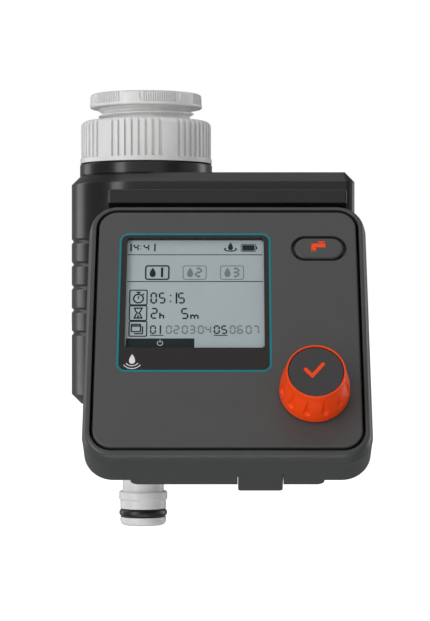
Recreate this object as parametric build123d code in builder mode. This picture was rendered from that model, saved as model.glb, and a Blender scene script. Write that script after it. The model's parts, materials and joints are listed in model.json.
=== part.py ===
from build123d import *
from math import cos, radians, sin
import os

# Tap-mounted watering timer.
# Origin: centre of the tap adapter's top mouth. +Z points up along the water line, -Y is the
# front, +X is the right-hand side seen from the front. Millimetres.

os.makedirs("parts", exist_ok=True)

# ---------------------------------------------------------------- driving dimensions
# tap adapter: 1 inch outer and 3/4 inch inner pipe threads
FLANGE_R = 19.57
FLANGE_T = 4.8
FLANGE_ROUND = 1.2
FLANGE_CHAMFER = 0.3
GRIP_FIRST = 17 - 90
GRIP_ARC = 43
GRIP_H = 3.8
GRIP_DEPTH = 0.3
GRIP_CORNER_R = 1.5
KNURL_PITCH = 2.35
KNURL_W = 0.45
KNURL_SIDE = 7
G1_MAJOR_R = 16.62
G1_ROOT_R = 15.15
G1_PITCH = 2.309
G34_MINOR_R = 12.06
G34_MAJOR_R = 13.2
G34_LENGTH = 11.5
WASHER_T = 2.5
ADAPTER_BOTTOM = -16.8
WATER_R = 9.0
THREAD_GAP = 0.2

# union nut
NUT_R = 22.7
NUT_BASE_R = 22.96
NUT_BASE_H = 1.6
NUT_TOP = -9.4
NUT_BOTTOM = -24.2
NUT_LIP = 2.7
LUGS = 6
LUG_ANGLE = 23.5 - 90
RIB_PITCH = 6.1
RIBS_PER_GROUP = 8
RIB_GROOVE = (1.7, 1.2)

# valve body
SPIGOT_R = 12.2
SPIGOT_FLANGE_R = 14.6
SPIGOT_TOP = -19.0
VALVE_Z = -73.0
VALVE_R = 19.5
VALVE_BACK_X = -11.0
VALVE_FACE_X = 24.0
SEAT_X = 22.0
SEAT_R = 8.0
CHAMBER_R = 14.0
SEAT_BORE_R = 5.0
BONNET_X = 25.4
BONNET_T = 8.6
BONNET_R = 19.2
BONNET_SCREWS = (16.6, 4, 45)
BONNET_SCREW_HOLE_R = 1.5
BONNET_SCREW_CORE_R = 1.4
VALVE_FOOT = -118.0
INLET_DEPTH = 43.0
CHAMBER_DEPTH = 9.0
FEED = (0, 11.2)
FEED_R = 2.6
OUTLET_PIPE_R = 9.3
OUTLET_SOCKET_R = 7.4
DIAPHRAGM_R = 18.8
DIAPHRAGM_T = 1.4
DISC_T = 1.6
POST_R = 2.4
COIL_X = 39.4
COIL_LENGTH = 22.0
COIL_R = 10.2
BOBBIN_TUBE_R = 5.6
BOBBIN_BORE_R = 4.5
BOBBIN_END_R = 10.6
BOBBIN_END_T = 1.2
PLUNGER_R = 4.3
SHEET = 1.6
YOKE_W = 21.2
YOKE_Y = 11.0
MAGNET_R = 6.0
MAGNET_T = 3.0

# housing
WALL = 2.4
COLUMN_R = 26.0
BODY_TOP = -28.4
BODY_BOTTOM = -107.8
BODY_CHAMFER = 3.3
BLOCK_RIGHT = 71.7
BLOCK_CORNER_R = 4.0
COLLAR_R = 23.1
COLLAR_TOP = -24.4
PARTING_Y = 4.0
GROOVES = [-51.4, -59.35, -67.3, -75.3, -83.2]
GROOVE_W = 2.1
GROOVE_DEPTH = 0.7
BOSS_R = 4.2
BOSS_FRONT_Y = -8.0
SCREW_SEAT_Y = 7.0
SCREW_POINTS = [(66.6, -33.6), (66.6, -102.6), (22, -33.6), (22, -102.6), (-20, -44), (-20, -99)]
SCREW_R = 1.5
HEAD_R = 2.8

# control unit, leaning back
TILT = 30
UNIT_X = 28.5
UNIT_Y = -58.0
UNIT_Z = -80.4
PANEL_W = 85.2
PANEL_H = 87.4
PANEL_R = 6.2
GROOVE = 1.0
BEZEL_W = 92.2
BEZEL_H = 94.4
BEZEL_R = 9.7
BEZEL_DEPTH = 16.6
FLARE_DEPTH = 5.7
FLARE_INSET = 1.7
RIM_DROP = 0.3
FLANGE_TOP = -9.0
DISPLAY = (-10.7, 9.2)
DISPLAY_SIZE = (50.0, 52.2)
DISPLAY_R = 3
TRIM = 0.7
MASK_SIZE = (DISPLAY_SIZE[0] - 2 * TRIM, DISPLAY_SIZE[1] - 2 * TRIM)
WINDOW = (-10.6, 12.8)
WINDOW_SIZE = (45.2, 41.6)
BUTTON = (30.15, 29.5)
SYMBOL_FOOT = 0.25
SYMBOL_T = 0.17
KNOB = (27.7, -24.0)
KNOB_BASE_R = 11.3
KNOB_TOP_R = 9.45
KNOB_TOP = 13.6
CAP_R = 8.75
CAP_TOP = 13.3
CAP_FOOT = 11.0
CAP_SEAT = 9.8
DENTS = 12
DENT_ANGLE = 15 - 90
DENT_R = 1.5
STEM_R = 2.6
STEM_END = -3.0
BUTTON_HOLE = (18.4, 9.6)
BUTTON_SIZE = (16.2, 7.8)
BUTTON_FOOT = -3.4
BUTTON_LIP = (20.0, 11.0)
BUTTON_TOP = 0.4
SWITCH_W = 6.0
ENCODER_W = 12.0
ENCODER_H = 3.6
BUSH_R = 4.5
BUSH_TOP = 7.2
LCD_SIZE = (47.6, 43.0)
LCD_TOP = -1.65
HOLDER_SIZE = (48.0, 35.0)
HOLDER_TOP = -3.6
ZEBRA_SIZE = (42.0, 2.2)
ZEBRA_PITCH = 39.4
BOARD_TOP = -6.0
BOARD_SIZE = (80.0, 82.0)
BOARD_T = 1.6
UNIT_SCREWS = (78, 79)
BATTERY_V = -8.0
BATTERY_BOX = (56.0, 30.5)
BATTERY_BOTTOM = -28.8
BATTERY_U = -3.2
BATTERY_SIZE = (46.4, 26.3)
BATTERY_T = 17.2
TERMINAL_R = 3.0
TERMINAL_PITCH = 12.7
DOOR_T = 1.5
TONGUE_HALF = 31.0
TONGUE_REACH = 19.8
LATCH_U = 10.6
LATCH_W = 14.4
LATCH_REACH = 25.1
LATCH_GAP = 0.15

# dock for the control unit
DOCK_HALF = 40.0
DOCK_TOP = -34.7
DOCK_FRONT = -34.0
ROOF_Z = -39.3
ROOF_V = 47.6
DOCK_FACE = -17.0
DOCK_FOOT_V = -43.5
DOCK_ROUND = 0.8
BAY_W = 94.0
BAY_H = 120.0
BAY_DEPTH = 60.0

# outlet
OUTLET_X = -1.0
BOSS_BOTTOM = -122.0
OUTLET_BORE_R = 4.2
NECK_R = 7.2
COUPLING_R = 8.45
TIP_R = 8.0
RING_R = 1.45
TIP_BOTTOM = -150.4

# ---------------------------------------------------------------- planes and small helpers
LEAN = radians(TILT)
UNIT = Plane(origin=(UNIT_X, UNIT_Y, UNIT_Z), x_dir=(1, 0, 0), z_dir=(0, -cos(LEAN), sin(LEAN)))
UNIT_AXIS = Axis(UNIT.origin, UNIT.z_dir)
VALVE_AXIS = Axis((0, 0, VALVE_Z), (1, 0, 0))
OUTLET_AXIS = Axis((OUTLET_X, 0, 0), (0, 0, 1))


def unit_point(u, v, w):
    """A place on the control unit: u to the right, v up its face, w out of its face."""
    return UNIT.from_local_coords((u, v, w))


def valve_plane(x):
    """A plane across the valve's and the solenoid's common axis."""
    return Plane(origin=(x, 0, VALVE_Z), x_dir=(0, 1, 0), z_dir=(1, 0, 0))


def outlet_plane(z):
    """A level plane centred on the outlet."""
    return Plane(origin=(OUTLET_X, 0, z), z_dir=(0, 0, 1))


def side(v, w):
    """The (Y, Z) of a control unit place, for sections drawn on the YZ plane."""
    place = unit_point(0, v, w)
    return (place.Y, place.Z)


BUTTON_PLANE = Plane(origin=unit_point(*BUTTON, 0), x_dir=UNIT.x_dir, z_dir=UNIT.z_dir)
KNOB_PLANE = Plane(origin=unit_point(*KNOB, 0), x_dir=UNIT.x_dir, z_dir=UNIT.z_dir)
KNOB_SECTION = Plane(origin=KNOB_PLANE.origin, x_dir=UNIT.x_dir, z_dir=-UNIT.y_dir)
KNOB_AXIS = Axis(KNOB_PLANE.origin, KNOB_PLANE.z_dir)
UNIT_FOOT = Plane(origin=unit_point(0, -BEZEL_H / 2, 0), x_dir=UNIT.x_dir, z_dir=UNIT.y_dir)


def thread_ridge(root_r, crest_r, root_w, crest_w, start_z, bottom, top):
    """A right-hand helical ridge of 1 inch pipe pitch, cut off flat at bottom and top."""
    turns = int((top - start_z) / G1_PITCH) + 2
    with BuildLine() as path:
        Helix(pitch=G1_PITCH, height=G1_PITCH * turns, radius=root_r, center=(0, 0, start_z))
    with BuildPart() as ridge:
        with BuildSketch(Plane(origin=(root_r, 0, start_z), x_dir=(1, 0, 0), z_dir=(0, -1, 0))):
            with BuildLine():
                Polyline(
                    (0, -root_w / 2),
                    (crest_r - root_r, -crest_w / 2),
                    (crest_r - root_r, crest_w / 2),
                    (0, root_w / 2),
                    close=True,
                )
            make_face()
        sweep(path=path.line, is_frenet=True)
        split(bisect_by=Plane.XY.offset(bottom), keep=Keep.TOP)
        split(bisect_by=Plane.XY.offset(top), keep=Keep.BOTTOM)
    return ridge.part


def coil_spring(foot, direction, length, radius, wire, turns):
    """A round-wire coil spring that stands on foot and points along direction."""
    with BuildLine() as path:
        Helix(pitch=(length - 2 * wire) / turns, height=length - 2 * wire, radius=radius)
    with BuildPart() as spring:
        with BuildSketch(Plane(origin=path.line @ 0, z_dir=path.line % 0)):
            Circle(wire)
        sweep(path=path.line, is_frenet=True)
    lift = Vector(*direction) * wire
    return spring.part.moved(Plane(origin=Vector(*foot) + lift, z_dir=direction).location)


def rib_angles():
    """Angles of the nut's grooves, in groups between the smooth lugs."""
    step = 360 / LUGS
    middle = (RIBS_PER_GROUP - 1) / 2
    return [
        LUG_ANGLE + step * (lug + 0.5) + RIB_PITCH * (rib - middle)
        for lug in range(LUGS)
        for rib in range(RIBS_PER_GROUP)
    ]


# ---------------------------------------------------------------- tap adapter
with BuildPart() as adapter_body:
    with BuildSketch(Plane.XZ):
        with BuildLine():
            Polyline(
                (G34_MINOR_R, 0),
                (FLANGE_R, 0),
                (FLANGE_R, -FLANGE_T + FLANGE_CHAMFER),
                (FLANGE_R - FLANGE_CHAMFER, -FLANGE_T),
                (G1_ROOT_R, -FLANGE_T),
                (G1_ROOT_R, ADAPTER_BOTTOM),
                (WATER_R, ADAPTER_BOTTOM),
                (WATER_R, -G34_LENGTH - WASHER_T),
                (G34_MAJOR_R + 0.1, -G34_LENGTH - WASHER_T),
                (G34_MAJOR_R + 0.1, -G34_LENGTH),
                (G34_MINOR_R, -G34_LENGTH),
                close=True,
            )
        make_face()
    revolve(axis=Axis.Z)
    top_edges = edges().filter_by(GeomType.CIRCLE).group_by(Axis.Z)[-1]
    fillet(top_edges.sort_by(SortBy.RADIUS)[-1], FLANGE_ROUND)
    # knurled recesses between the flange's six smooth lugs
    grip_angles = [GRIP_FIRST + 360 / LUGS * lug for lug in range(LUGS)]
    with BuildSketch(Plane.XY):
        for angle in grip_angles:
            with BuildLine():
                inner = CenterArc((0, 0), FLANGE_R - GRIP_DEPTH, angle - GRIP_ARC / 2, GRIP_ARC)
                outer = CenterArc((0, 0), FLANGE_R + 1, angle - GRIP_ARC / 2, GRIP_ARC)
                Line(inner @ 0, outer @ 0)
                Line(inner @ 1, outer @ 1)
            make_face()
    extrude(amount=-GRIP_H, mode=Mode.SUBTRACT)
    grip_corners = edges().filter_by_position(Axis.Z, -GRIP_H - 0.01, -GRIP_H + 0.01).filter_by(GeomType.LINE)
    fillet(grip_corners, GRIP_CORNER_R)
    with BuildSketch(Plane.XY):
        for angle in grip_angles:
            for groove in range(-KNURL_SIDE, KNURL_SIDE + 1):
                turned = Plane.XY.rotated((0, 0, angle + KNURL_PITCH * groove))
                with Locations(turned.location * Location((FLANGE_R - GRIP_DEPTH, 0))):
                    Rectangle(2 * GRIP_DEPTH, KNURL_W)
    extrude(amount=-GRIP_H, mode=Mode.SUBTRACT)

g1_ridge = thread_ridge(
    G1_ROOT_R,
    G1_MAJOR_R,
    1.925,
    0.384,
    -7.2 + 0.25 * G1_PITCH - 5 * G1_PITCH,
    ADAPTER_BOTTOM,
    -FLANGE_T,
)
tap_adapter = Compound(children=[adapter_body.part.solid(), g1_ridge.solid()])

with BuildPart() as adapter_seal:
    with BuildSketch(Plane.XY.offset(-G34_LENGTH - WASHER_T)):
        Circle(G34_MAJOR_R - 0.2)
        Circle(WATER_R + 0.3, mode=Mode.SUBTRACT)
    extrude(amount=WASHER_T - 0.1)

# ---------------------------------------------------------------- union nut
NUT_BORE_R = G1_MAJOR_R + THREAD_GAP
with BuildPart() as nut_body:
    with BuildSketch(Plane.XY.offset(NUT_BOTTOM)):
        Circle(NUT_R)
    extrude(amount=NUT_TOP - NUT_BOTTOM)
    fillet(edges().sort_by(Axis.Z)[-1], 2.0)
    with BuildSketch(Plane.XY.offset(NUT_BOTTOM + NUT_BASE_H)):
        for angle in rib_angles():
            with Locations(Plane.XY.rotated((0, 0, angle)).location * Location((NUT_R, 0))):
                Rectangle(*RIB_GROOVE)
    extrude(amount=NUT_TOP - NUT_BOTTOM, mode=Mode.SUBTRACT)
    with BuildSketch(Plane.XY.offset(NUT_BOTTOM)):
        Circle(NUT_BASE_R)
    extrude(amount=NUT_BASE_H)
    with BuildSketch(Plane.XY.offset(NUT_BOTTOM + NUT_LIP)):
        Circle(NUT_BORE_R)
    extrude(amount=NUT_TOP - NUT_BOTTOM, mode=Mode.SUBTRACT)
    with BuildSketch(Plane.XY.offset(NUT_BOTTOM)):
        Circle(SPIGOT_R + 0.4)
    extrude(amount=NUT_LIP, mode=Mode.SUBTRACT)

nut_ridge = thread_ridge(
    NUT_BORE_R,
    G1_ROOT_R + THREAD_GAP,
    1.73,
    0.2,
    -7.2 + 0.75 * G1_PITCH - 6 * G1_PITCH,
    ADAPTER_BOTTOM,
    NUT_TOP - 0.8,
)
union_nut = Compound(children=[nut_body.part.solid(), nut_ridge.solid()])

with BuildPart() as inlet_seal:
    with BuildSketch(Plane.XY.offset(SPIGOT_TOP)):
        Circle(SPIGOT_FLANGE_R - 0.2)
        Circle(WATER_R + 0.3, mode=Mode.SUBTRACT)
    extrude(amount=2.0)

with BuildPart() as inlet_filter:
    with BuildSketch(Plane.XZ):
        with BuildLine():
            Polyline(
                (8.7, SPIGOT_TOP - 0.3),
                (8.7, SPIGOT_TOP - 1.5),
                (7.6, SPIGOT_TOP - 2.0),
                (4.6, SPIGOT_TOP - 17),
                (0, SPIGOT_TOP - 17),
                (0, SPIGOT_TOP - 16.4),
                (4.0, SPIGOT_TOP - 16.4),
                (7.0, SPIGOT_TOP - 0.3),
                close=True,
            )
        make_face()
    revolve(axis=Axis.Z)

# ---------------------------------------------------------------- valve
with BuildPart() as valve_body:
    with BuildSketch(Plane.XY.offset(SPIGOT_TOP)):
        Circle(SPIGOT_FLANGE_R)
    extrude(amount=-2.2)
    with BuildSketch(Plane.XY.offset(SPIGOT_TOP)):
        Circle(SPIGOT_R)
    extrude(amount=VALVE_Z - SPIGOT_TOP)
    with BuildSketch(valve_plane(VALVE_BACK_X)):
        Circle(VALVE_R)
    extrude(amount=VALVE_FACE_X - VALVE_BACK_X)
    with BuildSketch(outlet_plane(VALVE_Z)):
        Circle(OUTLET_PIPE_R)
    extrude(amount=VALVE_FOOT - VALVE_Z)
    # inlet bore, ring chamber round the seat, seat bore and outlet bore
    with BuildSketch(Plane.XY.offset(SPIGOT_TOP)):
        Circle(WATER_R)
    extrude(amount=-INLET_DEPTH, mode=Mode.SUBTRACT)
    with BuildSketch(valve_plane(SEAT_X)):
        Circle(CHAMBER_R)
    extrude(amount=VALVE_FACE_X - SEAT_X, mode=Mode.SUBTRACT)
    with BuildSketch(valve_plane(SEAT_X)):
        Circle(CHAMBER_R)
        Circle(SEAT_R, mode=Mode.SUBTRACT)
    extrude(amount=-CHAMBER_DEPTH, mode=Mode.SUBTRACT)
    with BuildSketch(valve_plane(SEAT_X)):
        Circle(SEAT_BORE_R)
    extrude(amount=OUTLET_X - SEAT_X, mode=Mode.SUBTRACT)
    with BuildSketch(valve_plane(SEAT_X)):
        with Locations(FEED):
            Circle(FEED_R)
    extrude(amount=-SEAT_X + 2, mode=Mode.SUBTRACT)
    with BuildSketch(outlet_plane(VALVE_Z)):
        Circle(SEAT_BORE_R)
    extrude(amount=VALVE_FOOT - VALVE_Z, mode=Mode.SUBTRACT)
    with BuildSketch(outlet_plane(VALVE_FOOT)):
        Circle(OUTLET_SOCKET_R)
    extrude(amount=10, mode=Mode.SUBTRACT)
    with BuildSketch(valve_plane(VALVE_FACE_X)):
        with PolarLocations(*BONNET_SCREWS):
            Circle(BONNET_SCREW_CORE_R)
    extrude(amount=-8, mode=Mode.SUBTRACT)

with BuildPart() as diaphragm:
    with BuildSketch(Plane.XZ):
        with BuildLine():
            Polyline(
                (SEAT_X, VALVE_Z),
                (SEAT_X, VALVE_Z + 9.0),
                (VALVE_FACE_X, VALVE_Z + 13.6),
                (VALVE_FACE_X, VALVE_Z + DIAPHRAGM_R),
                (BONNET_X, VALVE_Z + DIAPHRAGM_R),
                (BONNET_X, VALVE_Z + 13.0),
                (SEAT_X + DIAPHRAGM_T, VALVE_Z + 8.6),
                (SEAT_X + DIAPHRAGM_T, VALVE_Z),
                close=True,
            )
        make_face()
    revolve(axis=VALVE_AXIS)
    with BuildSketch(valve_plane(VALVE_FACE_X)):
        with PolarLocations(*BONNET_SCREWS):
            Circle(BONNET_SCREW_HOLE_R)
    extrude(amount=BONNET_X - VALVE_FACE_X, mode=Mode.SUBTRACT)

with BuildPart() as diaphragm_disc:
    with BuildSketch(valve_plane(SEAT_X + DIAPHRAGM_T)):
        Circle(SEAT_R)
    extrude(amount=DISC_T)
    with BuildSketch(valve_plane(SEAT_X + DIAPHRAGM_T + DISC_T)):
        Circle(POST_R)
    extrude(amount=6.0)

with BuildPart() as valve_bonnet:
    with BuildSketch(valve_plane(BONNET_X)):
        Circle(BONNET_R)
    extrude(amount=BONNET_T)
    with BuildSketch(valve_plane(BONNET_X)):
        Circle(13.0)
    extrude(amount=5.0, mode=Mode.SUBTRACT)
    # nozzle and the ring that holds the solenoid
    with BuildSketch(valve_plane(BONNET_X + BONNET_T)):
        Circle(10)
        Circle(7, mode=Mode.SUBTRACT)
    extrude(amount=COIL_X - SHEET - BONNET_X - BONNET_T)
    with BuildSketch(valve_plane(BONNET_X + BONNET_T)):
        Circle(3)
    extrude(amount=1.6)
    with BuildSketch(valve_plane(BONNET_X)):
        Circle(2.6)
    extrude(amount=8.4, mode=Mode.SUBTRACT)
    with BuildSketch(valve_plane(BONNET_X)):
        Circle(0.8)
    extrude(amount=12, mode=Mode.SUBTRACT)
    with BuildSketch(valve_plane(BONNET_X)):
        with PolarLocations(*BONNET_SCREWS):
            Circle(BONNET_SCREW_HOLE_R)
    extrude(amount=BONNET_T, mode=Mode.SUBTRACT)

with BuildPart() as bonnet_screws:
    with BuildSketch(valve_plane(BONNET_X + BONNET_T)):
        with PolarLocations(*BONNET_SCREWS):
            Circle(2.4)
    extrude(amount=1.8)
    with BuildSketch(valve_plane(BONNET_X + BONNET_T)):
        with PolarLocations(*BONNET_SCREWS):
            Circle(BONNET_SCREW_CORE_R)
    extrude(amount=-16)

diaphragm_spring = coil_spring((SEAT_X + DIAPHRAGM_T + DISC_T, 0, VALVE_Z), (1, 0, 0), 5.4, 4.5, 0.4, 3)

# ---------------------------------------------------------------- pilot solenoid
COIL_END = COIL_X + COIL_LENGTH
CORE_X = COIL_X + 12.0
PLUNGER_X = BONNET_X + BONNET_T + 3.2

with BuildPart() as solenoid_bobbin:
    with BuildSketch(valve_plane(COIL_X)):
        Circle(BOBBIN_TUBE_R)
    extrude(amount=COIL_LENGTH)
    for start in (COIL_X, COIL_END - BOBBIN_END_T):
        with BuildSketch(valve_plane(start)):
            Circle(BOBBIN_END_R)
        extrude(amount=BOBBIN_END_T)
    with BuildSketch(valve_plane(COIL_X)):
        Circle(BOBBIN_BORE_R)
    extrude(amount=COIL_LENGTH, mode=Mode.SUBTRACT)

with BuildPart() as solenoid_coil:
    with BuildSketch(valve_plane(COIL_X + BOBBIN_END_T)):
        Circle(COIL_R)
        Circle(BOBBIN_TUBE_R, mode=Mode.SUBTRACT)
    extrude(amount=COIL_LENGTH - 2 * BOBBIN_END_T)

with BuildPart() as solenoid_yoke:
    for start in (COIL_X - SHEET, COIL_END):
        with BuildSketch(valve_plane(start)):
            with Locations((0.9, 0)):
                Rectangle(YOKE_W + 2.2, YOKE_W)
            Circle(BOBBIN_BORE_R, mode=Mode.SUBTRACT)
        extrude(amount=SHEET)
    with BuildSketch(Plane.XZ.offset(-YOKE_Y)):
        with Locations(((COIL_X + COIL_END) / 2, VALVE_Z)):
            Rectangle(COIL_LENGTH + 2 * SHEET, YOKE_W)
    extrude(amount=-SHEET)

with BuildPart() as solenoid_core:
    with BuildSketch(valve_plane(CORE_X)):
        Circle(BOBBIN_BORE_R)
    extrude(amount=COIL_END + SHEET - CORE_X)

with BuildPart() as solenoid_magnet:
    with BuildSketch(valve_plane(COIL_END + SHEET)):
        Circle(MAGNET_R)
    extrude(amount=MAGNET_T)

with BuildPart() as solenoid_plunger:
    with BuildSketch(valve_plane(PLUNGER_X)):
        Circle(PLUNGER_R)
    extrude(amount=CORE_X - 1.4 - PLUNGER_X)
    with BuildSketch(valve_plane(CORE_X - 5.4)):
        Circle(2.6)
    extrude(amount=4, mode=Mode.SUBTRACT)

with BuildPart() as plunger_seal:
    with BuildSketch(valve_plane(PLUNGER_X)):
        Circle(2.6)
    extrude(amount=-1.5)

plunger_spring = coil_spring((CORE_X - 5.4, 0, VALVE_Z), (1, 0, 0), 5.4, 2.0, 0.3, 6)

with BuildPart() as solenoid_leads:
    for height in (-70.5, -67.5):
        with BuildLine(Plane.XY.offset(height)) as route:
            Polyline((50, -10.4), (50, -23))
            RadiusArc((50, -23), (46, -27), 4)
            Polyline((46, -27), (UNIT_X + 6, -27))
        with BuildSketch(Plane.XZ.offset(10.4)):
            with Locations((50, height)):
                Circle(0.6)
        sweep(path=route.line)

# ---------------------------------------------------------------- housing
dock_outline = [
    (-10, DOCK_TOP),
    (DOCK_FRONT, DOCK_TOP),
    (DOCK_FRONT, ROOF_Z),
    side(ROOF_V, DOCK_FACE),
    side(DOCK_FOOT_V, DOCK_FACE),
    side(DOCK_FOOT_V, DOCK_FACE - 5),
    (-38, -122.5),
    (-22, BODY_BOTTOM),
    (-10, BODY_BOTTOM),
]
POCKET_U = BATTERY_BOX[0] / 2 + 1.5
POCKET_V = BATTERY_BOX[1] / 2 + 1.25
POCKET_FLOOR = -31.5
CONTACT_V = 25.0
CONTACT_US = [-4.5, -1.5, 1.5, 4.5]

with BuildPart() as dock_outside:
    with BuildSketch(Plane.YZ.offset(UNIT_X - DOCK_HALF)):
        with BuildLine():
            Polyline(*dock_outline, close=True)
        make_face()
    extrude(amount=2 * DOCK_HALF)
    brow_edges = edges().filter_by_position(Axis.Z, ROOF_Z + 0.1, DOCK_TOP + 0.1)
    fillet(brow_edges.filter_by_position(Axis.Y, DOCK_FRONT - 0.1, -12), DOCK_ROUND)

with BuildPart() as housing_outside:
    with BuildSketch(Plane.XY.offset(BODY_BOTTOM)):
        Circle(COLUMN_R)
        with Locations((BLOCK_RIGHT / 2, 0)):
            Rectangle(BLOCK_RIGHT, 2 * COLUMN_R)
        fillet(vertices().group_by(Axis.X)[-1], BLOCK_CORNER_R)
    extrude(amount=BODY_TOP - BODY_BOTTOM)
    chamfer(faces().sort_by(Axis.Z)[-1].edges(), BODY_CHAMFER)
    chamfer(faces().sort_by(Axis.Z)[0].edges(), BODY_CHAMFER)
    with BuildSketch(Plane.XY.offset(BODY_TOP)):
        Circle(COLLAR_R)
    extrude(amount=COLLAR_TOP - BODY_TOP)
    chamfer(edges().sort_by(Axis.Z)[-1], 0.5)
    with BuildSketch(outlet_plane(BOSS_BOTTOM)):
        Circle(12)
    extrude(amount=BODY_BOTTOM - BOSS_BOTTOM)
    chamfer(edges().sort_by(Axis.Z)[0], 0.8)
    add(dock_outside.part)
    # grooves round the column's left half
    with BuildSketch(Plane.YZ):
        for height in GROOVES:
            with BuildLine():
                Polyline(
                    (COLUMN_R + 0.3, height - GROOVE_W / 2 - 0.3),
                    (COLUMN_R - GROOVE_DEPTH, height),
                    (COLUMN_R + 0.3, height + GROOVE_W / 2 + 0.3),
                    close=True,
                )
            make_face()
    revolve(axis=Axis.Z, revolution_arc=180, mode=Mode.SUBTRACT)

with BuildPart() as housing_inside:
    with BuildSketch(Plane.XY.offset(BODY_BOTTOM + WALL)):
        Circle(COLUMN_R - WALL)
        with Locations(((BLOCK_RIGHT - WALL) / 2, 0)):
            Rectangle(BLOCK_RIGHT - WALL, 2 * (COLUMN_R - WALL))
    extrude(amount=BODY_TOP - BODY_BOTTOM - 2 * WALL)
    with BuildSketch(Plane.YZ.offset(UNIT_X - DOCK_HALF + WALL)):
        with BuildLine():
            Polyline(*dock_outline, close=True)
        make_face()
        offset(amount=-WALL, kind=Kind.INTERSECTION, mode=Mode.REPLACE)
    extrude(amount=2 * (DOCK_HALF - WALL))
    with BuildSketch(UNIT.offset(DOCK_FACE - WALL)):
        with Locations((0, ROOF_V + WALL - BAY_H / 2)):
            Rectangle(BAY_W + 2 * WALL, BAY_H)
    extrude(amount=BAY_DEPTH, mode=Mode.SUBTRACT)

with BuildPart() as housing_bosses:
    with BuildSketch(Plane.XZ.offset(-COLUMN_R)):
        with Locations(*SCREW_POINTS):
            Circle(BOSS_R)
    extrude(amount=COLUMN_R - BOSS_FRONT_Y)
    add(housing_outside.part, mode=Mode.INTERSECT)

with BuildPart() as housing:
    add(housing_outside.part)
    add(housing_inside.part, mode=Mode.SUBTRACT)
    add(housing_bosses.part)
    # battery pocket of the dock
    with BuildSketch(UNIT.offset(POCKET_FLOOR - 2)):
        with Locations((0, BATTERY_V)):
            Rectangle(2 * POCKET_U + 4, 2 * POCKET_V + 4)
    extrude(amount=DOCK_FACE - POCKET_FLOOR + 2)
    with BuildSketch(UNIT.offset(POCKET_FLOOR)):
        with Locations((0, BATTERY_V)):
            Rectangle(2 * POCKET_U, 2 * POCKET_V)
    extrude(amount=DOCK_FACE - POCKET_FLOOR, mode=Mode.SUBTRACT)
    # room for the control unit
    with BuildSketch(UNIT.offset(DOCK_FACE)):
        with Locations((0, ROOF_V - BAY_H / 2)):
            Rectangle(BAY_W, BAY_H)
    extrude(amount=BAY_DEPTH, mode=Mode.SUBTRACT)
    # water line, screw wells, pilot holes and contact holes
    with BuildSketch(Plane.XY.offset(COLLAR_TOP)):
        Circle(SPIGOT_R + 0.3)
    extrude(amount=-8, mode=Mode.SUBTRACT)
    with BuildSketch(outlet_plane(BOSS_BOTTOM)):
        Circle(9.6)
    extrude(amount=18, mode=Mode.SUBTRACT)
    with BuildSketch(Plane.XZ.offset(-COLUMN_R)):
        with Locations(*SCREW_POINTS):
            Circle(HEAD_R + 0.2)
    extrude(amount=COLUMN_R - SCREW_SEAT_Y, mode=Mode.SUBTRACT)
    with BuildSketch(Plane.XZ.offset(-COLUMN_R)):
        with Locations(*SCREW_POINTS):
            Circle(SCREW_R)
    extrude(amount=COLUMN_R - BOSS_FRONT_Y - 1, mode=Mode.SUBTRACT)
    with BuildSketch(UNIT.offset(DOCK_FACE)):
        with Locations(*[(u, CONTACT_V) for u in CONTACT_US]):
            Circle(1.0)
    extrude(amount=-WALL, mode=Mode.SUBTRACT)

with BuildPart() as front_housing:
    add(housing.part)
    split(bisect_by=Plane.XZ.offset(-PARTING_Y), keep=Keep.TOP)

with BuildPart() as rear_housing:
    add(housing.part)
    split(bisect_by=Plane.XZ.offset(-PARTING_Y), keep=Keep.BOTTOM)

with BuildPart() as housing_screws:
    with BuildSketch(Plane.XZ.offset(-SCREW_SEAT_Y)):
        with Locations(*SCREW_POINTS):
            Circle(HEAD_R)
    extrude(amount=-2.0)
    with BuildSketch(Plane.XZ.offset(-SCREW_SEAT_Y - 2.0)):
        with Locations(*SCREW_POINTS):
            Rectangle(3.2, 0.7)
            Rectangle(0.7, 3.2)
    extrude(amount=1.0, mode=Mode.SUBTRACT)
    with BuildSketch(Plane.XZ.offset(-SCREW_SEAT_Y)):
        with Locations(*SCREW_POINTS):
            Circle(SCREW_R)
    extrude(amount=12)

with BuildPart() as dock_contact_block:
    with BuildSketch(UNIT.offset(DOCK_FACE - WALL)):
        with Locations((0, CONTACT_V)):
            Rectangle(12, 8)
        with Locations(*[(u, CONTACT_V) for u in CONTACT_US]):
            Circle(0.8, mode=Mode.SUBTRACT)
    extrude(amount=-3)

with BuildPart() as dock_contacts:
    with BuildSketch(UNIT.offset(DOCK_FACE + 0.25)):
        with Locations(*[(u, CONTACT_V) for u in CONTACT_US]):
            Circle(0.8)
    extrude(amount=-WALL - 3.6)

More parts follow.
